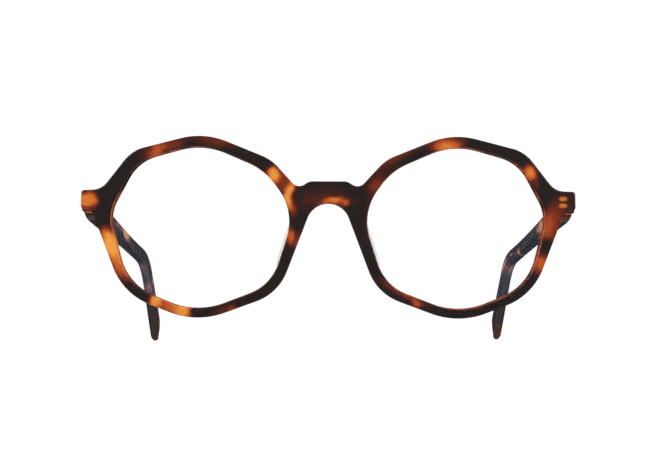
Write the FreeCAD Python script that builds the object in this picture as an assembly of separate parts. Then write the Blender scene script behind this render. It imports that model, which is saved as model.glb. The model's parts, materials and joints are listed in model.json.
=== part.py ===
import FreeCAD, Part
import os
from math import sin, cos, tan, radians, degrees, pi
from FreeCAD import Vector

# Eyeglasses frame: a bold eight-sided acetate front with a flat raised bridge,
# two acetate temples with a metal core wire, and a five-barrel hinge at each
# side.  Millimetres.  +X is the wearer's left, -Y is the way the front faces,
# +Y runs back along the open temples and +Z is up.  The origin is the centre
# of the footprint of the open frame as it stands on a table: the lower rims
# and the tips of the temples carry it.
#
# Every sided piece is modelled on the wearer's left; the right one is mirrored.
# The front, lenses and pads are drawn upright and then leaned forward.

# ---------------------------------------------------------------- front
FRONT_T = 4.2            # thickness of the rims and bridge
BASE_R = 330.0           # radius of the front's bow, both ways
PANTO = 8.0              # lean of the front, top forward, degrees
FRONT_EDGE_R = 0.45      # round on the edges of the front face
BACK_EDGE_R = 0.40       # round on the edges of the back face
PRISM_Y = (-5, 40)       # reach of the straight prisms that are cut to the bow

# left lens opening, counterclockwise in x, z: corner x, corner z, corner radius
OPENING = [
    (61.21, 5.15, 10.3), (53.23, 19.65, 12.1), (34.84, 24.62, 19.6),
    (17.54, 17.13, 18.5), (9.13, 5.52, 14.7), (15.61, -14.53, 13.7),
    (36.57, -22.65, 20.7), (56.14, -14.76, 15.1),
]
# outline of the left half, from the bridge's shoulder round to the side of
# the nose arch: corner x, corner z, corner radius
OUTLINE = [
    (5.25, 14.04, 2.78), (8.35, 11.95, 2.52), (15.75, 20.03, 11.81),
    (34.33, 27.61, 20.78), (54.68, 22.66, 10.33), (63.39, 11.80, 5.65),
    (69.25, 11.66, 0.92), (69.34, 6.22, 1.10), (66.18, 6.26, 2.66),
    (57.06, -17.25, 17.71), (36.22, -25.19, 22.16), (13.61, -16.76, 13.9),
]
ARCH_APEX = (0.0, 18.89, 6.09)   # corner where the two sides of the nose arch meet

# ---------------------------------------------------------------- lenses
LENS_FRONT = 1.20        # depth of the lens's front face behind the rim face
LENS_T = 2.0             # thickness of the lens
RIB_OUT = 0.65           # how far the lens's rib runs into the rim's groove
RIB_T = 0.8              # width of that rib
RIB_FRONT = LENS_FRONT + LENS_T / 2 - RIB_T / 2
LENS_GAP = 0.04          # gap between the lens's edge and the opening

# ---------------------------------------------------------------- temples
TEMPLE_X = 69.15         # outer face of the temple
TEMPLE_DROP = 1.5        # slope of the straight part of an open temple, degrees
BEND_START = 92.8        # length of the straight part
BEND_R = 36.0            # radius of the bend on the centre line
TEMPLE_Z = 8.4           # height of the centre line at the butt
BUTT_GAP = 0.05          # gap between the open temple and the lug
# shape along the temple: length, height, thickness, chamfer
STATIONS = [
    (0.0, 6.05, 3.75, 0.50), (12.0, 6.00, 3.75, 0.60), (27.0, 5.65, 3.65, 0.75),
    (45.0, 5.15, 3.50, 0.85), (62.0, 4.80, 3.35, 0.85), (78.0, 4.88, 3.25, 0.90),
    (92.0, 5.30, 3.20, 0.95), (103.0, 5.65, 3.20, 0.95), (114.0, 6.00, 3.20, 0.95),
    (122.0, 6.65, 3.20, 1.00), (128.0, 7.25, 3.20, 1.00), (134.5, 7.90, 3.20, 1.05),
    (144.4, 8.45, 3.20, 1.05),
]
CHAMFER_ASPECT = 0.85    # chamfer's run across the thickness over its run in height
# the first few millimetres narrow upward to meet the lug
TAPER_L, TAPER_RISE, TAPER_LOSS = 5.0, 0.80, 0.45   # length, rise, loss of height
SECTION_COUNT = 48       # evenly spaced sections that carry the surface
RUN_OUT = 18.0           # how far the surface is carried past the tip before it is cut
# rounded end: length, height, thickness, chamfer
TIP_ROUND = [(146.0, 7.9, 2.8, 1.05), (146.6, 6.8, 2.1, 0.75)]
FACET_L = 4.6            # length of the facet on the tip's inner face
FACET_SLANT = 7.0        # its slant, degrees

# ---------------------------------------------------------------- lugs
LUG_BACK_Y = 11.2        # back face of the lug, where the temple butts
LUG_X0, LUG_X1 = 62.0, TEMPLE_X
LUG_Z0, LUG_Z1 = 6.78, 12.35
LUG_Y0 = 6.6             # the lug's block starts inside the front
LUG_EDGE_R = 0.6
LUG_DEPTH = 1.2          # the block stays this deep behind the front's face

# ---------------------------------------------------------------- core wire
CORE_R = 0.65            # radius of the wire inside each temple
CORE_INSET = 1.75        # depth of its axis inside the temple's outer face
CORE_START = 2.2         # where it starts, under the hinge plate
CORE_END = 134.0         # where it ends, inside the tip
START_CHAMFER, END_CHAMFER = 0.15, 0.2
KNURL_START, KNURL_END = 9.0, 62.0
KNURL_PITCH = 1.6        # spacing of the rings rolled into the wire
KNURL_DEPTH = 0.12
KNURL_STEPS = (0.18, 0.40, 0.58)   # floor start, floor end and far edge of a ring

# ---------------------------------------------------------------- hinges
PIN_OFF_X = 1.50         # pin axis inboard of the temple's inner face
PIN_OFF_Y = 1.50         # pin axis behind the lug's back face
HINGE_Z = 9.10           # middle of the barrel
KNUCKLE_COUNT = 5
KNUCKLE_R = 1.28         # outer radius of the knuckles
KNUCKLE_H = 0.80         # height of one knuckle
KNUCKLE_GAP = 0.06       # running gap between two knuckles
WEB_SINK = 0.3           # how far a knuckle's web runs into its plate
SCREW_R = 0.65           # shank of the hinge screw
SCREW_SHORT = 0.05       # the shank ends this far above the barrel's lower end
TEMPLE_BORE_R = 0.70     # bore of the knuckles that turn on the screw
FRONT_BORE_R = 0.66      # bore of the knuckles that hold the screw
BORE_L = 10.0            # length of the cutter that clears the whole barrel
HEAD_R, HEAD_H, HEAD_EDGE_R = 1.15, 0.55, 0.12
SLOT_W, SLOT_D = 0.30, 0.28
SLOT_TURN = 35           # degrees from the X axis
FRONT_PLATE_T = 0.9      # front leaf, sunk in the lug
FRONT_PLATE_IN = 1.7     # reach of the plate inboard of the pin
FRONT_PLATE_RIM = 0.1    # reach of the plate outboard of the prongs
FRONT_PLATE_R = 0.35
PRONG_X = 65.6           # middle of the two anchor prongs
PRONG_W, PRONG_H, PRONG_L = 2.4, 1.2, 3.4
PRONG_PITCH = 1.95
PRONG_SINK = 0.2         # how far a prong runs into the plate
PRONG_R = 0.4
TEMPLE_PLATE_T = 1.05    # temple leaf, sunk in the temple's inner face
TEMPLE_PLATE_W = 3.45    # its width
TEMPLE_PLATE_L = 6.25    # from the lug's back face to the plate's round end
SEAT_OPEN = 0.3          # how far the seat's cutter stands out of the inner face

# ---------------------------------------------------------------- nose pads
PAD_TOP, PAD_BOTTOM = 2.9, -9.3   # heights of the pad's ends on the front
PAD_SIDE = (4, 5)        # corners of OPENING that end the nasal side
PAD_OVER = 0.75          # nominal overlap of the pad into the lens opening
PAD_W = 3.3              # width of the glued face
PAD_D = 3.9              # depth behind the rim
PAD_SINK = 0.2           # the sections start inside the rim and are trimmed to it
PAD_BOW = 0.105          # bulge of the edge by the lens, at mid length
PAD_END_R = 0.3
# sections down the pad: fraction of the length, width scale, depth scale
PAD_SECTIONS = [
    (0.0, 0.80, 0.45), (0.18, 0.95, 0.85), (0.5, 1.0, 1.0),
    (0.82, 0.95, 0.85), (1.0, 0.80, 0.45),
]

# ---------------------------------------------------------------- sides
# extra drop of the temple behind the ear, and sideways lean of the hinge pin,
# top outward; degrees.  The lean sets how a folded temple slopes across the front.
SIDES = {"left": (32.3, -0.65), "right": (34.8, 1.80)}

# derived places
TEMPLE_Y = LUG_BACK_Y + BUTT_GAP
INNER_X = TEMPLE_X - STATIONS[0][2]
PIN_X = INNER_X - PIN_OFF_X
PIN_Y = LUG_BACK_Y + PIN_OFF_Y
KNUCKLE_STEP = KNUCKLE_H + KNUCKLE_GAP
BARREL_H = KNUCKLE_COUNT * KNUCKLE_H + (KNUCKLE_COUNT - 1) * KNUCKLE_GAP
BARREL_TOP = HINGE_Z + BARREL_H / 2
BARREL_BOTTOM = HINGE_Z - BARREL_H / 2


# ================================================================ helpers
def fillet_wire(corners):
    """Closed polygon of (x, z, radius) corners as a wire of lines and arcs in XZ."""
    points = [Vector(x, 0, z) for x, z, _ in corners]
    count = len(points)
    arcs = []
    for i, (_, _, radius) in enumerate(corners):
        corner = points[i]
        to_last = (points[i - 1] - corner).normalize()
        to_next = (points[(i + 1) % count] - corner).normalize()
        half = to_last.getAngle(to_next) / 2
        bisector = (to_last + to_next).normalize()
        tangent = radius / tan(half)
        arcs.append((corner + to_last * tangent,
                     corner + bisector * (radius / sin(half) - radius),
                     corner + to_next * tangent))
    edges = []
    for i, (start, middle, end) in enumerate(arcs):
        edges.append(Part.Arc(start, middle, end).toShape())
        next_start = arcs[(i + 1) % count][0]
        if (next_start - end).Length > 1e-4:
            edges.append(Part.makeLine(end, next_start))
    return Part.Wire(Part.__sortEdges__(edges))


def offset_corners(corners, distance):
    """Move every side of a counterclockwise convex polygon outward."""
    normals = []
    for i, (x, z, _) in enumerate(corners):
        next_x, next_z, _ = corners[(i + 1) % len(corners)]
        normals.append(Vector(next_z - z, 0, x - next_x).normalize())
    moved = []
    for i, (x, z, radius) in enumerate(corners):
        before, after = normals[i - 1], normals[i]
        move = (before + after) * (distance / (1 + before.dot(after)))
        moved.append((x + move.x, z + move.z, radius + distance))
    return moved


def prism(wire):
    y0, y1 = PRISM_Y
    face = Part.Face(wire)
    face.translate(Vector(0, y0, 0))
    return face.extrude(Vector(0, y1 - y0, 0))


def ball(depth):
    """The ball whose surface lies depth behind the front's face."""
    return Part.makeSphere(BASE_R - depth, Vector(0, BASE_R, 0), Vector(0, 0, 1), -90, 90, 360)


def on_ball(edge, depth):
    centre = Vector(0, BASE_R, 0)
    first, last = edge.FirstParameter, edge.LastParameter
    points = [edge.valueAt(first + k * (last - first)) for k in (0.0, 0.37, 0.71, 1.0)]
    return all(abs((point - centre).Length - (BASE_R - depth)) < 1e-3 for point in points)


def bowed_plate(wire, depth, thickness):
    """Plate of an outline between two concentric bows."""
    plate = prism(wire).common(ball(depth)).cut(ball(depth + thickness))
    return plate.Solids[0] if len(plate.Solids) == 1 else plate


def mirror_x(shape):
    return shape.mirror(Vector(0, 0, 0), Vector(1, 0, 0))


def lean(shape):
    """From the front's own upright frame to the standing frame."""
    shape = shape.copy()
    shape.rotate(Vector(0, 0, 0), Vector(1, 0, 0), PANTO)
    return shape


def box(x0, x1, y0, y1, z0, z1):
    return Part.makeBox(x1 - x0, y1 - y0, z1 - z0, Vector(x0, y0, z0))


def rounded_box(x0, x1, y0, y1, z0, z1, radius):
    """Box with its four edges along Y rounded."""
    block = box(x0, x1, y0, y1, z0, z1)
    edges = [e for e in block.Edges if abs(e.BoundBox.YLength - (y1 - y0)) < 1e-6]
    return block.makeFillet(radius, edges)


def main_solid(shape):
    """The largest solid, with split faces joined."""
    return max(shape.removeSplitter().Solids, key=lambda solid: solid.Volume)


def loft(wires, ruled):
    return Part.makeLoft(wires, True, ruled)


def closed_polygon(points):
    return Part.makePolygon(points + [points[0]])


# ================================================================ front and lenses
def make_rib():
    """Rib round the lens, which also cuts its groove in the rim."""
    return bowed_plate(fillet_wire(offset_corners(OPENING, RIB_OUT)), RIB_FRONT, RIB_T)


def make_lug(hole):
    """Block behind the end of the front, in line with the open temple."""
    lug = rounded_box(LUG_X0, LUG_X1, LUG_Y0, LUG_BACK_Y, LUG_Z0, LUG_Z1, LUG_EDGE_R)
    lug = lug.common(lean(ball(LUG_DEPTH)))
    return lug.cut(lean(hole))


def make_front(seat_left, seat_right):
    mirrored = [(-x, z, radius) for x, z, radius in OUTLINE[::-1]]
    front = bowed_plate(fillet_wire(OUTLINE + [ARCH_APEX] + mirrored), 0.0, FRONT_T)
    hole = prism(fillet_wire(OPENING))
    front = main_solid(front.cut(hole).cut(mirror_x(hole)))

    for depth, radius in ((0.0, FRONT_EDGE_R), (FRONT_T, BACK_EDGE_R)):
        edges = [e for e in front.Edges if on_ball(e, depth)]
        # a face's edges stay sharp where the kernel can't round them all
        try:
            rounded = front.makeFillet(radius, edges)
            if rounded.isValid() and rounded.Volume > 0.9 * front.Volume:
                front = main_solid(rounded)
        except Exception:
            pass

    groove = make_rib()
    front = lean(front.cut(groove).cut(mirror_x(groove)))
    lug = make_lug(hole)
    front = main_solid(front.fuse(lug).fuse(mirror_x(lug)))
    return main_solid(front.cut(seat_left).cut(seat_right))


def make_lens():
    outline = fillet_wire(offset_corners(OPENING, -LENS_GAP))
    body = bowed_plate(outline, LENS_FRONT, LENS_T)
    return lean(main_solid(body.fuse(make_rib())))


# ================================================================ hinges
def tilted(shape, angle):
    """A hinge part turned sideways about the middle of the barrel."""
    shape = shape.copy()
    shape.rotate(Vector(PIN_X, PIN_Y, HINGE_Z), Vector(0, 1, 0), angle)
    return shape


def pin_cylinder(radius, height, z):
    return Part.makeCylinder(radius, height, Vector(PIN_X, PIN_Y, z))


def knuckle(i, bore_r, on_front):
    """Knuckle i counted from the top, with its web to the plate."""
    z1 = BARREL_TOP - i * KNUCKLE_STEP
    z0 = z1 - KNUCKLE_H
    barrel = pin_cylinder(KNUCKLE_R, KNUCKLE_H, z0)
    if on_front:
        web = box(PIN_X - KNUCKLE_R, PIN_X + KNUCKLE_R, LUG_BACK_Y - WEB_SINK, PIN_Y, z0, z1)
    else:
        web = box(PIN_X, INNER_X + WEB_SINK, PIN_Y - KNUCKLE_R, PIN_Y + KNUCKLE_R, z0, z1)
    return barrel.fuse(web).cut(pin_cylinder(bore_r, KNUCKLE_H + 2, z0 - 1))


def add_knuckles(leaf, places, bore_r, on_front):
    for i in places:
        leaf = leaf.fuse(knuckle(i, bore_r, on_front))
    return main_solid(leaf.cut(pin_cylinder(bore_r, BORE_L, HINGE_Z - BORE_L / 2)))


def make_front_plate():
    """Plate sunk in the lug, with two anchor prongs that run forward."""
    plate_y = LUG_BACK_Y - FRONT_PLATE_T
    prong_x0, prong_x1 = PRONG_X - PRONG_W / 2, PRONG_X + PRONG_W / 2
    plate = rounded_box(PIN_X - FRONT_PLATE_IN, prong_x1 + FRONT_PLATE_RIM,
                        plate_y, LUG_BACK_Y, BARREL_BOTTOM, BARREL_TOP, FRONT_PLATE_R)
    for end in (-1, 1):
        z = HINGE_Z + end * PRONG_PITCH / 2
        plate = plate.fuse(rounded_box(prong_x0, prong_x1,
                                       plate_y - PRONG_L, plate_y + PRONG_SINK,
                                       z - PRONG_H / 2, z + PRONG_H / 2, PRONG_R))
    return plate


def make_temple_plate():
    """Plate with a round rear end, sunk in the temple's inner face."""
    half = TEMPLE_PLATE_W / 2
    round_y = LUG_BACK_Y + TEMPLE_PLATE_L - half
    plate = box(INNER_X, INNER_X + TEMPLE_PLATE_T, TEMPLE_Y, round_y,
                HINGE_Z - half, HINGE_Z + half)
    end = Part.makeCylinder(half, TEMPLE_PLATE_T, Vector(INNER_X, round_y, HINGE_Z),
                            Vector(1, 0, 0))
    return plate.fuse(end).removeSplitter()


def make_screw():
    """Slotted head over the top knuckle, shank down to the lowest."""
    shank = pin_cylinder(SCREW_R, BARREL_H - SCREW_SHORT, BARREL_BOTTOM + SCREW_SHORT)
    head = pin_cylinder(HEAD_R, HEAD_H, BARREL_TOP)
    rim = [e for e in head.Edges if abs(e.BoundBox.ZMin - BARREL_TOP - HEAD_H) < 1e-6
           and e.BoundBox.XLength > 1]
    head = head.makeFillet(HEAD_EDGE_R, rim)
    head_top = BARREL_TOP + HEAD_H
    slot = box(PIN_X - 2, PIN_X + 2, PIN_Y - SLOT_W / 2, PIN_Y + SLOT_W / 2,
               head_top - SLOT_D, head_top + 1)
    slot.rotate(Vector(PIN_X, PIN_Y, 0), Vector(0, 0, 1), SLOT_TURN)
    return main_solid(shank.fuse(head).cut(slot))


# ================================================================ temples
def centre_line(length, bend):
    """y, z and downward angle (radians) of the centre line at a length along it."""
    drop = radians(TEMPLE_DROP)
    if length <= BEND_START:
        return TEMPLE_Y + length * cos(drop), TEMPLE_Z - length * sin(drop), drop
    centre_y = TEMPLE_Y + BEND_START * cos(drop) - BEND_R * sin(drop)
    centre_z = TEMPLE_Z - BEND_START * sin(drop) - BEND_R * cos(drop)
    past = length - BEND_START
    turned = min(past / BEND_R, radians(bend))
    angle = drop + turned
    straight = past - turned * BEND_R
    return (centre_y + BEND_R * sin(angle) + straight * cos(angle),
            centre_z + BEND_R * cos(angle) - straight * sin(angle), angle)


def section(length, height, thickness, chamfer, bend, inset=0.0):
    """Chamfered outline of the temple; inset moves its outer face inward."""
    y, z, angle = centre_line(length, bend)
    up_y, up_z = sin(angle), cos(angle)
    if length < 1e-9:
        up_y, up_z = 0.0, 1.0        # the butt is cut square to the lug
    taper = max(0.0, 1.0 - length / TAPER_L) ** 2
    z += TAPER_RISE * taper
    half = (height - TAPER_LOSS * taper) / 2
    outer = TEMPLE_X - inset
    inner = outer - thickness
    run = chamfer * CHAMFER_ASPECT
    points = [(inner, -half + chamfer), (inner, half - chamfer),
              (inner + run, half), (outer - run, half),
              (outer, half - chamfer), (outer, -half + chamfer),
              (outer - run, -half), (inner + run, -half)]
    return closed_polygon([Vector(x, y + up_y * up, z + up_z * up) for x, up in points])


def slope(i, column):
    """Slope of a STATIONS column from station i to the next."""
    here, after = STATIONS[i], STATIONS[i + 1]
    return (after[column] - here[column]) / (after[0] - here[0])


def tangent_at(i, column):
    """Slope of the smooth curve at station i, limited so that it can't overshoot."""
    if i == 0:
        return 0.0
    if i == len(STATIONS) - 1:
        return slope(i - 1, column) * 0.5
    before, after = slope(i - 1, column), slope(i, column)
    return 0.0 if before * after <= 0 else 2 * before * after / (before + after)


def shape_at(length):
    """Height, thickness and chamfer at a length, by cubic Hermite curves."""
    k = max(i for i in range(len(STATIONS)) if STATIONS[i][0] <= length + 1e-9)
    if k >= len(STATIONS) - 1:
        return STATIONS[-1][1:]
    here, after = STATIONS[k], STATIONS[k + 1]
    span = after[0] - here[0]
    x = (length - here[0]) / span
    return tuple((1 + 2 * x) * (1 - x) ** 2 * here[column]
                 + x * (1 - x) ** 2 * span * tangent_at(k, column)
                 + x * x * (3 - 2 * x) * after[column]
                 + x * x * (x - 1) * span * tangent_at(k + 1, column)
                 for column in (1, 2, 3))


def set_on_line(cutter, x, length, bend):
    """Turn a cutter to the centre line's slope and move it to a place on it."""
    y, z, angle = centre_line(length, bend)
    cutter.rotate(Vector(0, 0, 0), Vector(1, 0, 0), -degrees(angle))
    cutter.translate(Vector(x, y, z))
    return cutter


def make_temple(bend):
    # the surface is carried past the tip, so it runs fair there, and is cut off square
    tip_start, height, thickness, chamfer = STATIONS[-1]
    far = tip_start + RUN_OUT
    lengths = [far * i / (SECTION_COUNT - 1) for i in range(SECTION_COUNT)]
    body = loft([section(length, *shape_at(length), bend) for length in lengths], False)
    beyond = Part.makeBox(20, 40, 40, Vector(-10, 0, -20))
    body = main_solid(body.cut(set_on_line(beyond, TEMPLE_X - 2, tip_start, bend)))

    # rounded end, centred on the temple's thickness
    wires = [section(tip_start, height, thickness, chamfer, bend)]
    for length, tip_height, tip_t, tip_chamfer in TIP_ROUND:
        wires.append(section(length, tip_height, tip_t, tip_chamfer, bend,
                             (thickness - tip_t) / 2))
    body = body.fuse(loft(wires, True))

    # slanted facet across the inner face at the very end
    facet = Part.makeBox(6, 14, 16, Vector(-6, 0, -8))
    facet.rotate(Vector(0, 0, 0), Vector(0, 0, 1), -FACET_SLANT)
    facet_start = TIP_ROUND[-1][0] - FACET_L
    return body.cut(set_on_line(facet, TEMPLE_X - thickness, facet_start, bend))


def knurled_rod(start, direction, length):
    """Straight rod turned about its own axis, with rolled rings."""
    floor_r = CORE_R - KNURL_DEPTH
    profile = [(0, 0), (CORE_R - START_CHAMFER, 0), (CORE_R, START_CHAMFER)]
    ring = KNURL_START - CORE_START
    while ring < KNURL_END - CORE_START:
        floor_start, floor_end, far_edge = [ring + step for step in KNURL_STEPS]
        profile += [(CORE_R, ring), (floor_r, floor_start),
                    (floor_r, floor_end), (CORE_R, far_edge)]
        ring += KNURL_PITCH
    profile += [(CORE_R, length), (0, length)]
    wire = closed_polygon([Vector(radius, 0, along) for radius, along in profile])
    rod = Part.Face(wire).revolve(Vector(0, 0, 0), Vector(0, 0, 1), 360)
    rod.Placement = FreeCAD.Placement(start, FreeCAD.Rotation(Vector(0, 0, 1), direction))
    return rod


def make_core(bend, knurled):
    """Core wire; the plain one, without rings or end chamfers, cuts its bore."""
    arc_l = BEND_R * radians(bend)
    points = []
    for length in (CORE_START, BEND_START, BEND_START + arc_l / 2, BEND_START + arc_l, CORE_END):
        y, z, _ = centre_line(length, bend)
        points.append(Vector(TEMPLE_X - CORE_INSET, y, z))
    start, bend_start, bend_middle, bend_end, end = points

    direction = (bend_start - start).normalize()
    rod_l = (bend_start - start).Length
    if knurled:
        rod = knurled_rod(start, direction, rod_l)
    else:
        rod = Part.makeCylinder(CORE_R, rod_l, start, direction)

    arc = Part.Arc(bend_start, bend_middle, bend_end).toShape()
    circle = Part.Wire(Part.Circle(bend_start, direction, CORE_R).toShape())
    elbow = Part.Wire(arc).makePipeShell([circle], True, False)

    run = end - bend_end
    tail = Part.makeCylinder(CORE_R, run.Length, bend_end, run)
    if knurled:
        tail = tail.makeChamfer(END_CHAMFER, [e for e in tail.Edges
                                              if e.BoundBox.DiagonalLength > 1
                                              and (e.BoundBox.Center - end).Length < 0.3])
    return main_solid(rod.fuse(elbow).fuse(tail))


# ================================================================ nose pads
def make_pad():
    """Wedge glued behind the nasal side of the rim; one edge shows in the opening."""
    upper, lower = [Vector(OPENING[i][0], 0, OPENING[i][1]) for i in PAD_SIDE]
    down = (lower - upper).normalize()
    top, bottom = [upper + down * ((z - upper.z) / down.z) for z in (PAD_TOP, PAD_BOTTOM)]
    to_lens = Vector(-down.z, 0, down.x)
    length = (bottom - top).Length

    wires = []
    for fraction, width_scale, depth_scale in PAD_SECTIONS:
        start = top + down * (length * fraction)
        lens_edge = PAD_OVER - 0.1
        nose_edge = PAD_OVER - PAD_W * width_scale
        depth = PAD_D * depth_scale
        # distance towards the lens, distance back
        points = [(lens_edge, 0.0), (lens_edge + PAD_BOW * sin(pi * fraction), 0.9),
                  (PAD_OVER - 0.45, 0.55 * depth + 0.4), (PAD_OVER - 1.3, depth),
                  (PAD_OVER - 1.9, 0.92 * depth), (nose_edge, 0.9), (nose_edge, 0.0)]
        wires.append(closed_polygon([
            start + to_lens * across + Vector(0, FRONT_T - PAD_SINK + back, 0)
            for across, back in points]))
    pad = main_solid(loft(wires, False).common(ball(FRONT_T)))

    # the ends stay square where the kernel can't round them
    try:
        z_max = max(e.BoundBox.ZMax for e in pad.Edges)
        z_min = min(e.BoundBox.ZMin for e in pad.Edges)
        ends = [e for e in pad.Edges if not on_ball(e, FRONT_T)
                and (abs(e.BoundBox.ZMax - z_max) < 0.3 or abs(e.BoundBox.ZMin - z_min) < 0.3)
                and e.BoundBox.ZLength < 1.6]
        rounded = pad.makeFillet(PAD_END_R, ends)
        if rounded.isValid():
            pad = main_solid(rounded)
    except Exception:
        pass
    return lean(pad)


# ================================================================ assembly
front_plate = make_front_plate()
front_leaf = add_knuckles(front_plate, (0, 2, 4), FRONT_BORE_R, True)
temple_plate = make_temple_plate()
# the temple's seat is open to its inner face
temple_seat = temple_plate.fuse(temple_plate.translated(Vector(-SEAT_OPEN, 0, 0)))
temple_seat = temple_seat.removeSplitter()
temple_leaf = add_knuckles(temple_plate, (1, 3), TEMPLE_BORE_R, False)
screw = make_screw()
lens = make_lens()
pad = make_pad()

nodes = {"front_frame": make_front(tilted(front_plate, SIDES["left"][1]),
                                   mirror_x(tilted(front_plate, SIDES["right"][1])))}
for side, (bend, tilt) in SIDES.items():
    temple = make_temple(bend).cut(make_core(bend, False)).cut(tilted(temple_seat, tilt))
    pieces = {
        "lens": lens,
        "nose_pad": pad,
        "front_hinge_leaf": tilted(front_leaf, tilt),
        "hinge_screw": tilted(screw, tilt),
        "temple": main_solid(temple),
        "core_wire": make_core(bend, True),
        "temple_hinge_leaf": tilted(temple_leaf, tilt),
    }
    for name, shape in pieces.items():
        nodes[name + "_" + side] = mirror_x(shape) if side == "right" else shape

# ================================================================ output
# centre the footprint on the origin and stand the frame on z = 0
bounds = FreeCAD.BoundBox()
for shape in nodes.values():
    bounds.add(shape.optimalBoundingBox(False))
shift = Vector(-(bounds.XMin + bounds.XMax) / 2, -(bounds.YMin + bounds.YMax) / 2, -bounds.ZMin)
if abs(shift.x) < 0.02:
    shift.x = 0.0            # keep the front's plane of symmetry on x = 0

os.makedirs("parts", exist_ok=True)
for name, shape in nodes.items():
    shape = shape.copy()
    shape.translate(shift)
    shape.exportStep(os.path.join("parts", name + ".step"))
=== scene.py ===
# Tortoise acetate spectacles with clear lenses, in a white studio.
# X runs across the face and Z up. The front faces -Y, with its top leaning forward, and the
# temples run back along +Y. Design sizes and shader coordinates are in mm, the scene in metres.
import bpy
import json
import math
from mathutils import Matrix, Vector


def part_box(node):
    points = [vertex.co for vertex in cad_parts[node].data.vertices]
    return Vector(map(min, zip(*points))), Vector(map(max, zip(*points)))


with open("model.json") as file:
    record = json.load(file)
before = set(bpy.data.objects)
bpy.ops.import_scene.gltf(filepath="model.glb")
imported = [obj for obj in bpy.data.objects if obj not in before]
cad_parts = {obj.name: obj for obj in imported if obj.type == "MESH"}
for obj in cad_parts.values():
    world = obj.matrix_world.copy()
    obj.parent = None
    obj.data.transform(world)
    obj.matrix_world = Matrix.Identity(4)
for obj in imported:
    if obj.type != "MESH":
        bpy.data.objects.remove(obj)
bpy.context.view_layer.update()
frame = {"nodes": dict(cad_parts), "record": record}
MM = 0.001
SIDES = ("left", "right")

# ------------------------------------------------------------------ the front's own frame
LEAN = math.radians(8.0)
MOUNT_BACK, MOUNT_UP = 2.0, 14.04       # the bridge_top mount, seen from the front's origin
LEAN_COS, LEAN_SIN = math.cos(LEAN), math.sin(LEAN)
ACROSS = Vector((1, 0, 0))
BACK = Vector((0, LEAN_COS, LEAN_SIN))  # square to the front, towards the temples
UP = Vector((0, -LEAN_SIN, LEAN_COS))   # up along the front

mounts = {mount["name"]: mount for mount in frame["record"]["mounts"]}
ORIGIN = Vector(mounts["bridge_top"]["pos_m"]) - Vector((
    0.0,
    MOUNT_BACK * LEAN_COS - MOUNT_UP * LEAN_SIN,
    MOUNT_BACK * LEAN_SIN + MOUNT_UP * LEAN_COS)) * MM


# ------------------------------------------------------------------ palette
def srgb(*channels):
    """Linear RGBA from 0-255 sRGB channels."""
    def linear(channel):
        channel /= 255.0
        return channel / 12.92 if channel <= 0.04045 else ((channel + 0.055) / 1.055) ** 2.4
    return (*map(linear, channels), 1.0)


BLACK = srgb(34, 28, 27)
DARK = srgb(62, 31, 25)
RED = srgb(106, 42, 27)
ORANGE = srgb(170, 76, 32)
AMBER = srgb(203, 112, 44)
HONEY = srgb(230, 156, 68)
PRONG_AMBER = srgb(214, 124, 48)

# lightness of the acetate -> colour
TORTOISE = [(0.0, BLACK), (0.08, BLACK), (0.22, DARK), (0.42, RED), (0.60, ORANGE),
            (0.78, AMBER), (1.0, HONEY)]
# painted lens reflection: behind a coated lens the blacks turn navy and the ambers turn pink, so
# the coating's bluish sheen is painted into these colours
TORTOISE_PAINTED_LENS_SHEEN = [
    (0.0, srgb(38, 41, 50)), (0.10, srgb(44, 46, 56)), (0.22, srgb(68, 58, 64)),
    (0.42, srgb(116, 82, 78)), (0.60, srgb(176, 114, 96)), (0.78, srgb(212, 148, 116)),
    (1.0, srgb(232, 180, 144))]


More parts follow.
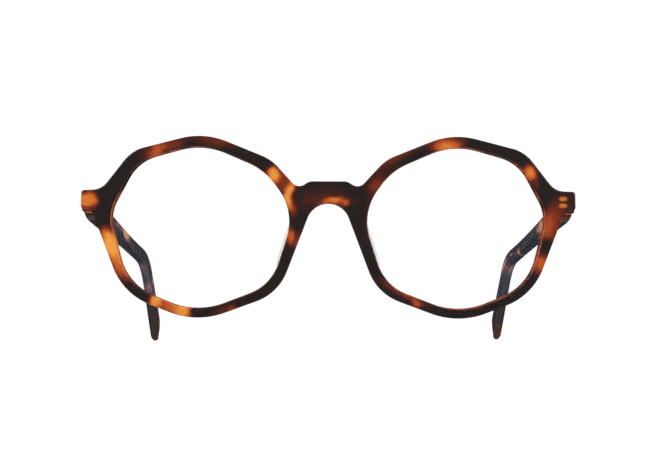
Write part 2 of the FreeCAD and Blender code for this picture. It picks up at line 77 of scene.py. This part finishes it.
# ------------------------------------------------------------------ node graph helper
class Graph:
    """Builds a node tree; most methods return the new node's output socket."""

    def __init__(self, tree, output_kind):
        self.tree = tree
        tree.nodes.clear()
        self.out = tree.nodes.new(output_kind)
        self.count = 0

    def node(self, kind, inputs=None, **settings):
        node = self.tree.nodes.new("ShaderNode" + kind)
        node.location = (-250 * (self.count % 40), -60 * (self.count // 40))
        self.count += 1
        for name, value in settings.items():
            setattr(node, name, value)
        for key, value in (inputs or {}).items():
            if isinstance(value, bpy.types.NodeSocket):
                self.tree.links.new(value, node.inputs[key])
            elif value is not None:
                node.inputs[key].default_value = value
        return node

    def surface(self, shader):
        self.tree.links.new(shader, self.out.inputs["Surface"])

    def math(self, operation, a, b=None):
        return self.node("Math", {0: a, 1: b}, operation=operation).outputs[0]

    def add(self, a, b):
        return self.math("ADD", a, b)

    def sub(self, a, b):
        return self.math("SUBTRACT", a, b)

    def mul(self, a, b):
        return self.math("MULTIPLY", a, b)

    def vector(self, operation, a, b=None, scale=None):
        node = self.node("VectorMath", {0: a, 1: b, "Scale": scale}, operation=operation)
        return node.outputs["Value" if operation in ("DOT_PRODUCT", "LENGTH") else 0]

    def dot(self, vector, axis):
        return self.vector("DOT_PRODUCT", vector, tuple(axis))

    def combine(self, x, y, z=0.0):
        return self.node("CombineXYZ", {0: x, 1: y, 2: z}).outputs[0]

    def separate(self, vector):
        return self.node("SeparateXYZ", {0: vector}).outputs[:3]

    def noise(self, vector, scale, detail=2.0, rough=0.5, output=0):
        return self.node("TexNoise", {"Vector": vector, "Scale": scale, "Detail": detail,
                                      "Roughness": rough}).outputs[output]

    def warp(self, vector, amount, scale):
        noise = self.noise(vector, scale=scale, rough=0.55, output="Color")
        offset = self.vector("SUBTRACT", noise, (0.5, 0.5, 0.5))
        return self.vector("ADD", vector, self.vector("SCALE", offset, scale=amount))

    def remap(self, value, over, to=(0.0, 1.0), smooth=False):
        return self.node("MapRange", {0: value, 1: over[0], 2: over[1], 3: to[0], 4: to[1]},
                         interpolation_type="SMOOTHSTEP" if smooth else "LINEAR").outputs[0]

    def ramp(self, value, stops):
        node = self.node("ValToRGB", {0: value})
        elements = node.color_ramp.elements
        elements.remove(elements[-1])
        elements[0].position, elements[0].color = stops[0]
        for position, colour in stops[1:]:
            elements.new(position).color = colour
        return node.outputs[0]

    def mix(self, factor, a, b):
        return self.node("Mix", {0: factor, 6: a, 7: b}, data_type="RGBA",
                         blend_type="MIX").outputs[2]

    def mix_shader(self, factor, a, b):
        return self.node("MixShader", {0: factor, 1: a, 2: b}).outputs[0]

    def bump(self, height, strength, distance, normal=None):
        return self.node("Bump", {"Strength": strength, "Distance": distance,
                                  "Height": height, "Normal": normal}).outputs[0]

    def in_ellipse(self, vector, x, y, radius_x, radius_y, turn=0.0):
        """Coordinates in which the ellipse is the unit circle; turn is in degrees."""
        return self.node("Mapping", {
            "Vector": vector, "Location": (x, y, 0), "Rotation": (0, 0, math.radians(turn)),
            "Scale": (radius_x, radius_y, 1.0)}, vector_type="TEXTURE").outputs[0]

    def flake(self, vector, x, y, radius_x, radius_y, turn, level, soft):
        """Smooth elliptical patch: level in the middle, zero outside."""
        unit = self.in_ellipse(vector, x, y, radius_x, radius_y, turn)
        return self.remap(self.vector("LENGTH", unit), over=(1.0 + soft, 1.0 - soft),
                          to=(0.0, level), smooth=True)

    def object_mm(self):
        return self.vector("SCALE", self.node("TexCoord").outputs["Object"], scale=1000.0)


def new_material(name):
    material = bpy.data.materials.new(name)
    material.use_nodes = True
    return material, Graph(material.node_tree, "ShaderNodeOutputMaterial")


# ------------------------------------------------------------------ polished tortoise acetate
def flake_lightness(g, sheet, warps, light, dark, base_scale, base_level):
    """Lightness of the sheet: light flakes, dark flakes over them, and a broad unevenness."""
    warped = sheet
    for amount, scale in warps:
        warped = g.warp(warped, amount, scale)
    across, up, _ = g.separate(warped)
    flat = g.combine(across, up)
    # flakes run into each other without a seam: 1 - (1 - a)(1 - b)...
    rest = None
    for row in light:
        left_over = g.sub(1.0, g.flake(flat, *row))
        rest = left_over if rest is None else g.mul(rest, left_over)
    lightness = g.sub(1.0, rest)
    for row in dark:
        lightness = g.mul(lightness, g.sub(1.0, g.flake(flat, *row)))
    base = g.noise(sheet, scale=base_scale)
    return g.add(lightness, g.mul(g.sub(base, base_level), 0.16))


def mottled(g, lightness, place):
    """Adds mottling that grows with the lightness."""
    coarse = g.noise(place, scale=0.9, detail=4.0, rough=0.6)
    fine = g.noise(place, scale=5.0, detail=3.0, rough=0.6)
    coarse_gain = g.remap(lightness, over=(0.1, 0.6), to=(0.08, 0.26))
    result = g.add(lightness, g.mul(g.sub(coarse, 0.5), coarse_gain))
    return g.add(result, g.mul(g.sub(fine, 0.5), g.mul(lightness, 0.16)))


def tortoise_colour(g, lightness, with_painted_lens_sheen=False):
    lightness = g.math("MAXIMUM", lightness, 0.0)
    plain = g.ramp(lightness, TORTOISE)
    if not with_painted_lens_sheen:
        return plain
    # painted reflection: behind a lens the colour is taken from the painted lens sheen ramp
    painted_lens_sheen = g.ramp(lightness, TORTOISE_PAINTED_LENS_SHEEN)
    # true once the ray has crossed both faces of a lens
    depth = g.node("LightPath").outputs["Transparent Depth"]
    return g.mix(g.math("GREATER_THAN", depth, 1.5), plain, painted_lens_sheen)


def acetate_surface(g, colour, lightness, place):
    # fine dust of scratches: rougher by a little, more on the rounds
    pointiness = g.node("NewGeometry").outputs["Pointiness"]
    wear = g.remap(pointiness, over=(0.5, 0.56))
    scratches = g.noise(place, scale=2.2, detail=6.0, rough=0.75)
    rough = g.add(g.remap(scratches, over=(0.35, 0.75), to=(0.055, 0.15)), g.mul(wear, 0.06))
    # tumbling leaves every edge a little round, so each one carries a fine highlight
    edge = g.node("Bevel", {"Radius": 0.00022}, samples=6).outputs[0]
    ripple = g.noise(place, scale=0.55, rough=0.4)
    gloss = g.node("BsdfPrincipled", {
        "Base Color": colour, "Roughness": rough, "IOR": 1.48, "Specular IOR Level": 0.3,
        "Coat Weight": 0.35, "Coat Roughness": 0.03, "Coat IOR": 1.45,
        "Normal": g.bump(ripple, strength=0.05, distance=0.0002, normal=edge)}).outputs[0]
    # light comes through the amber parts from behind
    glow = g.node("BsdfTranslucent", {"Color": colour}).outputs[0]
    g.surface(g.mix_shader(g.remap(lightness, over=(0.35, 1.0), to=(0.0, 0.25)), gloss, glow))


# ------------------------------------------------------------------ acetate front
# lighter flakes: x, z, half width, half height, turn in degrees, lightness, softness
FRONT_LIGHT = [
    (-67.2, 8.75, 3, 2.5, 0, 0.8, 0.6), (-47.87, 22.4, 1.79, 2.88, -20, 0.38, 0.95),
    (-47.51, 22.82, 4.61, 2.31, 18, 0.34, 0.88), (-42.18, 24.45, 3.45, 1.44, 15, 0.26, 0.88),
    (-30.45, 24.96, 5.73, 1.58, -10, 0.3, 0.88), (-15.08, 15.85, 1.42, 2.05, 10, 1, 0.73),
    (-12.99, 14.34, 4.27, 2.57, -42, 0.42, 0.68), (-10.56, 11.88, 0.97, 2, -22, 0.9, 0.83),
    (-10.99, 9.13, 1.03, 2.28, 14, 0.94, 0.83), (-9.93, 6.4, 1.2, 2, 10, 0.42, 0.88),
    (-10.23, -1.13, 1.2, 2.42, 6, 0.6, 0.83), (-8.25, -2.9, 0.74, 2.85, -8, 0.38, 0.88),
    (-60.4, -3.71, 2.32, 4.63, 25, 1, 0.6), (-57.52, -10.09, 2.16, 3.47, 30, 0.6, 0.78),
    (-47.73, -19.29, 1.67, 2.16, -20, 0.97, 0.73),
    (-43.93, -20.64, 2.59, 2.15, -18, 0.6, 0.78),
    (-40.28, -21.98, 2.44, 2.15, -10, 0.98, 0.63),
    (-28.3, -21.71, 4, 1.44, 14, 0.27, 0.88), (-26.36, -21, 1.14, 1.14, 0, 0.25, 0.88),
    (32.66, 23.84, 3.15, 1.21, 6, 0.7, 0.88), (32.39, 24.95, 4.88, 2.3, 5, 0.42, 0.88),
    (19.64, 22.2, 9.14, 2, 28, 0.3, 0.88), (13.05, 12.8, 2.28, 2, 45, 0.32, 0.88),
    (55.99, 16.88, 1.56, 1.9, 25, 0.8, 0.78), (57.61, 14.42, 0.93, 2.31, 28, 0.3, 0.88),
    (66.42, 8.51, 3.78, 4.07, 0, 0.15, 0.83), (62.08, 1.51, 2.9, 6.95, -14, 0.42, 0.73),
    (60.92, 2.06, 1.3, 4.06, -12, 0.22, 0.88), (59.25, -8.52, 2.03, 2.75, -25, 0.58, 0.78),
    (20.87, -16.38, 6.85, 1.2, -29, 0.42, 0.88), (24.54, -19.54, 1.31, 1.31, 0, 0.45, 0.88),
    (11.01, 4.02, 0.92, 5.69, -4, 0.17, 0.88), (1.7, 8.9, 2.2, 0.85, 3, 0.62, 0.88),
    (-1.05, 8.29, 1.9, 0.7, 22, 0.26, 0.88), (4.6, 8.05, 0.9, 1, -50, 0.46, 0.88),
    (1.83, 8.77, 4.6, 1.5, 0, 0.22, 0.88), (-5.56, 7.78, 3.13, 2.56, 0, 0.13, 0.88),
    (-1.5, 10.8, 8.5, 3.2, 0, 0.11, 0.8), (14.6, 15.4, 3.6, 6, -40, 0.14, 0.85),
]
# dark flakes that lie over them, in the same columns
FRONT_DARK = [(61.03, -3.79, 1.74, 2.03, -15, 1, 0.73), (-67.69, 6.72, 2.91, 0.63, 0, 0.25, 0.95)]
FRONT_WARPS = ((1.5, 0.22), (0.7, 0.8))     # amount in mm, noise scale
RIM_CENTRE_X = 35.0                         # middle of each rim, either side of the bridge
# hinge anchor prongs: x, strength, colour; then their heights and half sizes
PRONG_PAIRS = ((65.62, 0.60, PRONG_AMBER), (-65.75, 0.12, RED))
PRONG_HEIGHTS = (9.62, 7.73)
PRONG_RADII = (1.12, 0.60)


def cut_walls(g, lightness, sheet, x, z):
    """Lightens the cut walls of the sheet with a painted glow, and gives them flakes of their own
    with painted light that makes the walls round each lens lighter.
    """
    normal = g.node("NewGeometry").outputs["Normal"]
    facing = g.math("ABSOLUTE", g.dot(normal, BACK))
    wall = g.remap(facing, over=(0.90, 0.45), smooth=True)
    # light that runs inside the sheet makes its cut walls glow
    glow = g.remap(lightness, over=(0.02, 0.35), to=(0.03, 0.20))
    lightness = g.add(lightness, g.mul(wall, glow))
    # and the walls have flakes of their own, deeper in the sheet than the face shows
    elsewhere = g.vector("ADD", sheet, (31.0, 7.0, 3.0))
    deep = g.remap(g.noise(elsewhere, scale=0.13), over=(0.36, 0.60), to=(0.10, 0.66),
                   smooth=True)
    # painted light: stronger on the walls round each lens than on the outer edge of the sheet
    outward = g.mul(g.dot(normal, ACROSS), g.math("SIGN", x))
    from_centre = g.sub(g.math("ABSOLUTE", x), RIM_CENTRE_X)
    turned = g.add(g.mul(outward, from_centre), g.mul(g.dot(normal, UP), z))
    painted_inner_light = g.remap(turned, over=(3.0, -3.0), to=(0.38, 1.0))
    return g.math("MAXIMUM", lightness, g.mul(g.mul(wall, deep), painted_inner_light))


def show_prongs(g, colour, x, back, z):
    """The anchor prongs of the hinge glow through the lugs."""
    face = g.combine(x, z)
    for prong_x, strength, tint in PRONG_PAIRS:
        for prong_z in PRONG_HEIGHTS:
            unit_x, unit_z, _ = g.separate(g.in_ellipse(face, prong_x, prong_z, *PRONG_RADII))
            # powers above 2 square the ellipse off
            reach = g.add(g.math("POWER", g.math("ABSOLUTE", unit_x), 2.6),
                          g.math("POWER", g.math("ABSOLUTE", unit_z), 2.4))
            shown = g.remap(reach, over=(1.9, 0.1), to=(0.0, strength), smooth=True)
            shown = g.mul(shown, g.remap(back, over=(9.6, 8.6)))
            colour = g.mix(shown, colour, tint)
    return colour


def make_front():
    material, g = new_material("tortoise_front")
    place = g.object_mm()
    from_origin = g.vector("SUBTRACT", place, tuple(ORIGIN * 1000.0))
    x, back, z = (g.dot(from_origin, axis) for axis in (ACROSS, BACK, UP))
    sheet = g.combine(x, z, g.mul(back, 0.45))
    lightness = flake_lightness(g, sheet, FRONT_WARPS, FRONT_LIGHT, FRONT_DARK,
                                base_scale=0.12, base_level=0.40)
    lightness = mottled(g, cut_walls(g, lightness, sheet, x, z), place)
    colour = show_prongs(g, tortoise_colour(g, lightness), x, back, z)
    acetate_surface(g, colour, lightness, place)
    return material


# ------------------------------------------------------------------ acetate temples
# lighter flakes: distance from the butt, height over the centre line, half length,
# half height, turn in degrees, lightness, softness
TEMPLE_LIGHT = {
    "left": [
        (3, 0, 4.5, 3.2, 0, 0.2, 0.68), (8.9, -0.5, 0.8, 1.3, 0, 0.4, 0.68),
        (10.9, -0.05, 0.75, 1.75, 0, 0.68, 0.48), (12.3, -0.5, 0.4, 1.5, 0, 0.5, 0.58),
        (18.2, -0.1, 6, 1.7, 0, 0.19, 0.48), (29.9, -0.1, 5, 1.75, 0, 0.66, 0.4),
        (26.6, -0.15, 2.2, 1.85, 0, 0.9, 0.48), (31.8, -3, 3.4, 0.5, 0, 0.62, 0.68),
        (52, 0.4, 9, 1.6, 0, 0.13, 0.78), (71.6, -1.4, 2.2, 1.3, 0, 0.52, 0.78),
        (87.3, 0, 3.4, 0.45, 0, 0.64, 0.68), (104.5, 0.45, 8.2, 0.52, 3, 0.8, 0.78),
        (100.8, 2, 5, 0.5, 10, 0.3, 0.78), (101, -1.7, 6, 1.9, 10, 0.3, 0.78),
        (131.5, 4.4, 13, 0.9, 1, 0.18, 0.68), (138.6, 2.6, 3.6, 2.2, 0, 0.3, 0.88),
        (136, -4, 6, 1.4, 0, 0.13, 0.78),
    ],
    "right": [
        (3, 0, 3.5, 3, 0, 0.14, 0.68), (34, 0.85, 4.6, 0.9, 0, 0.5, 0.78),
        (42.5, 0.9, 4, 0.6, 0, 0.44, 0.78), (50.8, 0.7, 6.6, 1.5, 0, 0.98, 0.63),
        (62, -0.6, 4.5, 0.8, 0, 0.2, 0.78), (98, -2.1, 6, 0.9, 0, 0.16, 0.78),
        (113.8, 1.9, 2, 1.9, 0, 0.52, 0.58), (117.4, 0.15, 5.4, 0.45, 0, 0.62, 0.88),
        (112.8, -3.2, 2.6, 0.9, 0, 0.24, 0.78), (135, 1.5, 3, 2.3, 0, 0.56, 0.92),
        (135.4, 4.2, 2.2, 1.2, 0, 0.44, 0.88), (135.5, 0, 8.2, 7.5, 0, 0.11, 0.58),
        (139, 1, 2.6, 3.4, 0, 0.12, 0.78),
    ],
}
# dark flakes that lie over them, in the same columns
TEMPLE_DARK = {
    "left": [(31, -0.1, 0.55, 2.2, 0, 0.45, 0.6), (33.2, 0.3, 0.35, 1.4, 0, 0.4, 0.6),
             (110, -5.5, 6, 1.8, 0, 0.5, 0.6)],
    "right": [(135.2, -3.2, 3, 1.5, 0, 0.85, 0.8), (130.4, 2.2, 2.4, 2.8, 0, 0.7, 0.8)],
}
TEMPLE_WARPS = ((0.9, 0.25), (0.35, 0.9))   # amount in mm, noise scale
BUTT_HEIGHT = 8.4                           # centre line at the butt, over the front's origin
STRAIGHT_LENGTH = 92.8
DROP = math.radians(1.5)                    # fall of the straight part
BEND = {"left": math.radians(32.3), "right": math.radians(34.8)}
BEND_RADIUS = 36.0
STATION_STEP, STATIONS = 3.0, 18            # curve points along the bend
ARC_STEP = 0.1
CURVE_LENGTH = 150.0                        # the float curve's x from 0 to 1
CURVE_LOW, CURVE_HIGH = -45.0, 5.0          # heights at its y of 0 and 1
RING_PITCH = 1.6                            # rings of the core wire


def centre_line(bend):
    """(distance, height) points: straight, then bent down behind the ear."""
    straight = STRAIGHT_LENGTH * math.cos(DROP)
    height = -STRAIGHT_LENGTH * math.sin(DROP)
    along, angle, arc = 0.0, DROP, 0.0
    points = [(0.0, 0.0)]
    for station in range(STATIONS):
        while along < station * STATION_STEP:
            height -= ARC_STEP * math.sin(angle)
            along += ARC_STEP * math.cos(angle)
            arc += ARC_STEP
            angle = DROP + min(arc / BEND_RADIUS, bend)
        points.append((straight + station * STATION_STEP, height))
    return points


def centre_height(g, distance, bend):
    """Height of the centre line at a distance from the butt."""
    curve_range = CURVE_HIGH - CURVE_LOW
    places = [(along / CURVE_LENGTH, (height - CURVE_LOW) / curve_range)
              for along, height in centre_line(bend)]
    node = g.node("FloatCurve")
    node.mapping.use_clip = True
    points = node.mapping.curves[0].points
    points[0].location = places[0]
    points[1].location = places[-1]
    for spot in places[1:-1]:
        points.new(*spot)
    for point in points:
        point.handle_type = "VECTOR"
    node.mapping.update()
    g.tree.links.new(g.math("DIVIDE", distance, CURVE_LENGTH), node.inputs["Value"])
    return g.add(g.mul(node.outputs[0], curve_range), CURVE_LOW)


def show_core_wire(g, colour, lightness, distance, height):
    """The ringed core wire shows through the lighter acetate."""
    reach = g.mul(g.remap(distance, over=(8.0, 9.0)), g.remap(distance, over=(42.0, 38.0)))
    phase = g.math("FRACT", g.math("DIVIDE", distance, RING_PITCH))
    ring = g.mul(g.remap(phase, over=(0.0, 0.16), smooth=True),
                 g.remap(phase, over=(0.42, 0.26), smooth=True))
    off_centre = g.math("ABSOLUTE", height)
    edge = g.remap(off_centre, over=(1.75, 1.5), smooth=True)
    gap = g.remap(off_centre, over=(0.1, 0.3), to=(0.35, 1.0))
    shown = g.mul(g.mul(reach, ring), g.mul(edge, gap))
    clarity = g.remap(lightness, over=(0.12, 0.5), to=(0.15, 0.62))
    return g.mix(g.mul(shown, clarity), colour, DARK)


def make_temple(side):
    material, g = new_material("tortoise_temple_" + side)
    place = g.object_mm()
    x, y, z = g.separate(place)
    distance = g.sub(y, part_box("temple_" + side)[0][1] * 1000.0)
    height = g.sub(g.sub(z, BUTT_HEIGHT + ORIGIN.z * 1000.0),
                   centre_height(g, distance, BEND[side]))
    sheet = g.combine(distance, height, g.mul(x, 0.5))
    flakes = flake_lightness(g, sheet, TEMPLE_WARPS, TEMPLE_LIGHT[side], TEMPLE_DARK[side],
                             base_scale=0.10, base_level=0.42)
    # the sheet's grain is drawn out along the temple, and gives way to mottling at the tip
    drawn_out = g.combine(g.mul(distance, 0.03), g.mul(height, 0.42), x)
    grain = g.noise(drawn_out, scale=1.0, detail=3.0, rough=0.6)
    fade = g.remap(distance, over=(118.0, 132.0), to=(1.0, 0.3), smooth=True)
    grain = g.remap(grain, over=(0.40, 0.66), to=(-0.02, 0.16), smooth=True)
    flakes = g.add(flakes, g.mul(grain, fade))
    mottle = g.noise(sheet, scale=0.42, detail=3.0, rough=0.6)
    mottle = g.remap(mottle, over=(0.40, 0.64), to=(-0.03, 0.20), smooth=True)
    flakes = g.add(flakes, g.mul(mottle, g.sub(1.0, fade)))

    lightness = mottled(g, flakes, place)
    # painted reflection: the temples take the painted lens sheen where they are seen through a
    # lens
    colour = tortoise_colour(g, lightness, with_painted_lens_sheen=True)
    colour = show_core_wire(g, colour, flakes, distance, height)
    acetate_surface(g, colour, lightness, place)
    return material


# ------------------------------------------------------------------ clear parts
def make_lens():
    material, g = new_material("clear_lens")
    # faint wipe marks in the coating shift the reflected tint a little
    marks = g.noise(g.object_mm(), scale=0.25, detail=3.0, rough=0.6)
    clear = g.node("BsdfTransparent", {
        "Color": g.ramp(marks, [(0.3, (0.995, 1.0, 1.0, 1)), (0.7, (1.0, 1.0, 1.0, 1))])})
    mirror = g.node("BsdfGlossy", {
        "Color": g.ramp(marks, [(0.3, (0.42, 0.52, 0.86, 1)), (0.7, (0.48, 0.54, 0.84, 1))]),
        "Roughness": g.remap(marks, over=(0.3, 0.8), to=(0.03, 0.10)),
        "Normal": g.bump(marks, strength=0.02, distance=0.0001)})
    fresnel = g.node("Fresnel", {"IOR": 1.5}).outputs[0]
    # only the face the light meets first mirrors; the far face is coated
    outer = g.sub(1.0, g.node("NewGeometry").outputs["Backfacing"])
    factor = g.mul(g.mul(fresnel, 0.6), outer)
    g.surface(g.mix_shader(factor, clear.outputs[0], mirror.outputs[0]))
    return material


def make_pad():
    material, g = new_material("clear_pad")
    clear = g.node("BsdfTransparent", {"Color": (0.99, 0.98, 0.96, 1)})
    cloud = g.noise(g.object_mm(), scale=1.2, detail=3.0, rough=0.6)
    gloss = g.node("BsdfPrincipled", {
        "Base Color": g.ramp(cloud, [(0.3, srgb(244, 236, 226)), (0.7, srgb(252, 248, 243))]),
        "Roughness": g.remap(cloud, over=(0.3, 0.7), to=(0.08, 0.2)),
        "Coat Weight": 0.6})
    facing = g.node("LayerWeight", {"Blend": 0.35}).outputs["Facing"]
    factor = g.remap(facing, over=(0.25, 0.95), to=(0.16, 0.80))
    g.surface(g.mix_shader(factor, clear.outputs[0], gloss.outputs[0]))
    return material


# ------------------------------------------------------------------ metal
def make_metal(name, base, dark, rough, brush_axis, metallic=0.45):
    """Metal brushed along one axis (0, 1 or 2 for X, Y or Z)."""
    material, g = new_material(name)
    place = g.object_mm()
    stretch = [6.0, 6.0, 6.0]
    stretch[brush_axis] = 0.5
    brushed = g.node("Mapping", {"Vector": place, "Scale": stretch}).outputs[0]
    brush = g.noise(brushed, scale=3.0, detail=4.0, rough=0.6)
    stain = g.noise(place, scale=1.5, detail=4.0, rough=0.6)
    tone = g.add(g.mul(brush, 0.6), g.mul(stain, 0.4))
    pointiness = g.node("NewGeometry").outputs["Pointiness"]
    wear = g.remap(pointiness, over=(0.5, 0.58), to=(0.0, 0.12))
    brush_rough = g.remap(brush, over=(0.2, 0.8), to=(rough - 0.06, rough + 0.1))
    g.surface(g.node("BsdfPrincipled", {
        "Base Color": g.ramp(tone, [(0.3, dark), (0.65, base)]),
        "Metallic": metallic,
        "Roughness": g.sub(brush_rough, wear),
        "Normal": g.bump(brush, strength=0.12, distance=0.0001)}).outputs[0])
    return material


# ------------------------------------------------------------------ materials onto the pieces
def assign(piece, material):
    obj = frame["nodes"][piece]
    if not obj.material_slots:
        obj.data.materials.append(material)
    for slot in obj.material_slots:
        slot.material = material


assign("front_frame", make_front())
for side in SIDES:
    assign("temple_" + side, make_temple(side))

paired = {"lens": make_lens(), "nose_pad": make_pad()}
paired["front_hinge_leaf"] = paired["temple_hinge_leaf"] = make_metal(
    "satin_nickel", base=srgb(254, 252, 250), dark=srgb(244, 240, 238), rough=0.34,
    brush_axis=1, metallic=0.12)
paired["hinge_screw"] = make_metal(
    "screw_steel", base=srgb(214, 213, 212), dark=srgb(170, 168, 166), rough=0.26, brush_axis=2)
paired["core_wire"] = make_metal(
    "core_wire_nickel", base=srgb(190, 182, 168), dark=srgb(150, 142, 130), rough=0.34,
    brush_axis=1)
for side in SIDES:
    for piece, material in paired.items():
        assign(f"{piece}_{side}", material)

# ------------------------------------------------------------------ studio floor
FLOOR_HALF = 2.5            # metres
FLOOR_Z = -0.00012          # metres, just clear of the frame
PAPER_FADE = (150.0, 520.0)  # mm from the middle


def make_paper():
    material, g = new_material("studio_paper")
    place = g.object_mm()
    cloud = g.noise(place, scale=0.01, detail=3.0)
    paper = g.node("BsdfDiffuse", {
        "Color": g.ramp(cloud, [(0.3, (0.86, 0.86, 0.86, 1)), (0.7, (0.88, 0.88, 0.88, 1))])})
    clear = g.node("BsdfTransparent")
    # the paper runs out into the white of the room, and is unseen from below
    x, y, _ = g.separate(place)
    far = g.remap(g.vector("LENGTH", g.combine(x, y)), over=PAPER_FADE, smooth=True)
    off = g.math("MAXIMUM", far, g.node("NewGeometry").outputs["Backfacing"])
    g.surface(g.mix_shader(off, paper.outputs[0], clear.outputs[0]))
    return material


def add_object(name, data):
    obj = bpy.data.objects.new(name, data)
    bpy.context.scene.collection.objects.link(obj)
    return obj


floor_mesh = bpy.data.meshes.new("studio_floor")
floor_mesh.from_pydata([(x * FLOOR_HALF, y * FLOOR_HALF, 0)
                        for x, y in ((-1, -1), (1, -1), (1, 1), (-1, 1))], [], [(0, 1, 2, 3)])
floor = add_object("studio_floor", floor_mesh)
floor.location.z = FLOOR_Z
floor_mesh.materials.append(make_paper())
floor.visible_glossy = False

# ------------------------------------------------------------------ lights
LIGHT_AIM = Vector((0.0, -0.04, 0.025))
# name, place, width and height in metres, power in watts, seen in reflections
LIGHTS = [
    ("soft_top", (0.0, -0.10, 0.62), (0.8, 0.5), 4.6, False),
    ("strip_left", (-0.66, -0.34, 0.30), (0.05, 0.7), 2.4, True),
    ("strip_right", (0.66, -0.34, 0.30), (0.05, 0.7), 2.4, True),
    ("soft_back", (0.0, 0.70, 0.50), (0.8, 0.4), 3.0, False),
]
for name, place, size, power, mirrored in LIGHTS:
    light = bpy.data.lights.new(name, "AREA")
    light.shape = "RECTANGLE"
    light.size, light.size_y = size
    light.energy = power
    lamp = add_object(name, light)
    lamp.location = place
    lamp.rotation_euler = (LIGHT_AIM - Vector(place)).to_track_quat("-Z", "Y").to_euler()
    lamp.visible_glossy = mirrored

# ------------------------------------------------------------------ world
# what a polished face mirrors, from straight down (0) to straight up (1):
# grey below, nearly black up to the horizon, then rising to a dim grey
MIRRORED_ROOM = [
    (0.0, (0.30, 0.29, 0.32, 1)), (0.22, (0.26, 0.25, 0.28, 1)), (0.36, (0.03, 0.03, 0.033, 1)),
    (0.5, (0.03, 0.03, 0.033, 1)), (0.66, (0.07, 0.07, 0.074, 1)), (1.0, (0.16, 0.16, 0.168, 1))]


def make_world():
    world = bpy.data.worlds.new("studio_white")
    bpy.context.scene.world = world
    world.use_nodes = True
    g = Graph(world.node_tree, "ShaderNodeOutputWorld")

    def background(colour, strength):
        return g.node("Background", {"Color": colour, "Strength": strength}).outputs[0]

    white = (1, 1, 1, 1)
    seen = background(white, strength=1.08)
    lighting = background(white, strength=0.58)
    _, _, upward = g.separate(g.node("TexCoord").outputs["Generated"])
    mirrored = background(g.ramp(g.remap(upward, over=(-1.0, 1.0)), MIRRORED_ROOM), strength=1.0)
    ray = g.node("LightPath").outputs
    direct = g.math("MAXIMUM", ray["Is Camera Ray"], ray["Is Transmission Ray"])
    indirect = g.mix_shader(ray["Is Glossy Ray"], lighting, mirrored)
    g.surface(g.mix_shader(direct, indirect, seen))


make_world()

# ------------------------------------------------------------------ camera, square on to the front
CAMERA_X = -1.56
CAMERA_DISTANCE = 320.0
VIEW_WIDTH = 176.42232      # width seen at the front's origin
CAMERA_ROLL = math.radians(0.23)
SENSOR_WIDTH = 36.0

camera_data = bpy.data.cameras.new("camera")
camera = add_object("camera", camera_data)
bpy.context.scene.camera = camera
camera_data.sensor_width = SENSOR_WIDTH
camera_data.lens = SENSOR_WIDTH * CAMERA_DISTANCE / VIEW_WIDTH
camera_data.clip_start, camera_data.clip_end = 0.01, 20.0
camera.location = ORIGIN + (ACROSS * CAMERA_X - BACK * CAMERA_DISTANCE) * MM
camera.rotation_mode = "QUATERNION"
square_on = Matrix((ACROSS, UP, -BACK)).transposed()
camera.rotation_quaternion = (square_on @ Matrix.Rotation(CAMERA_ROLL, 3, "Z")).to_quaternion()
bpy.context.scene.view_settings.view_transform = "Standard"
bpy.context.scene.view_settings.look = "None"
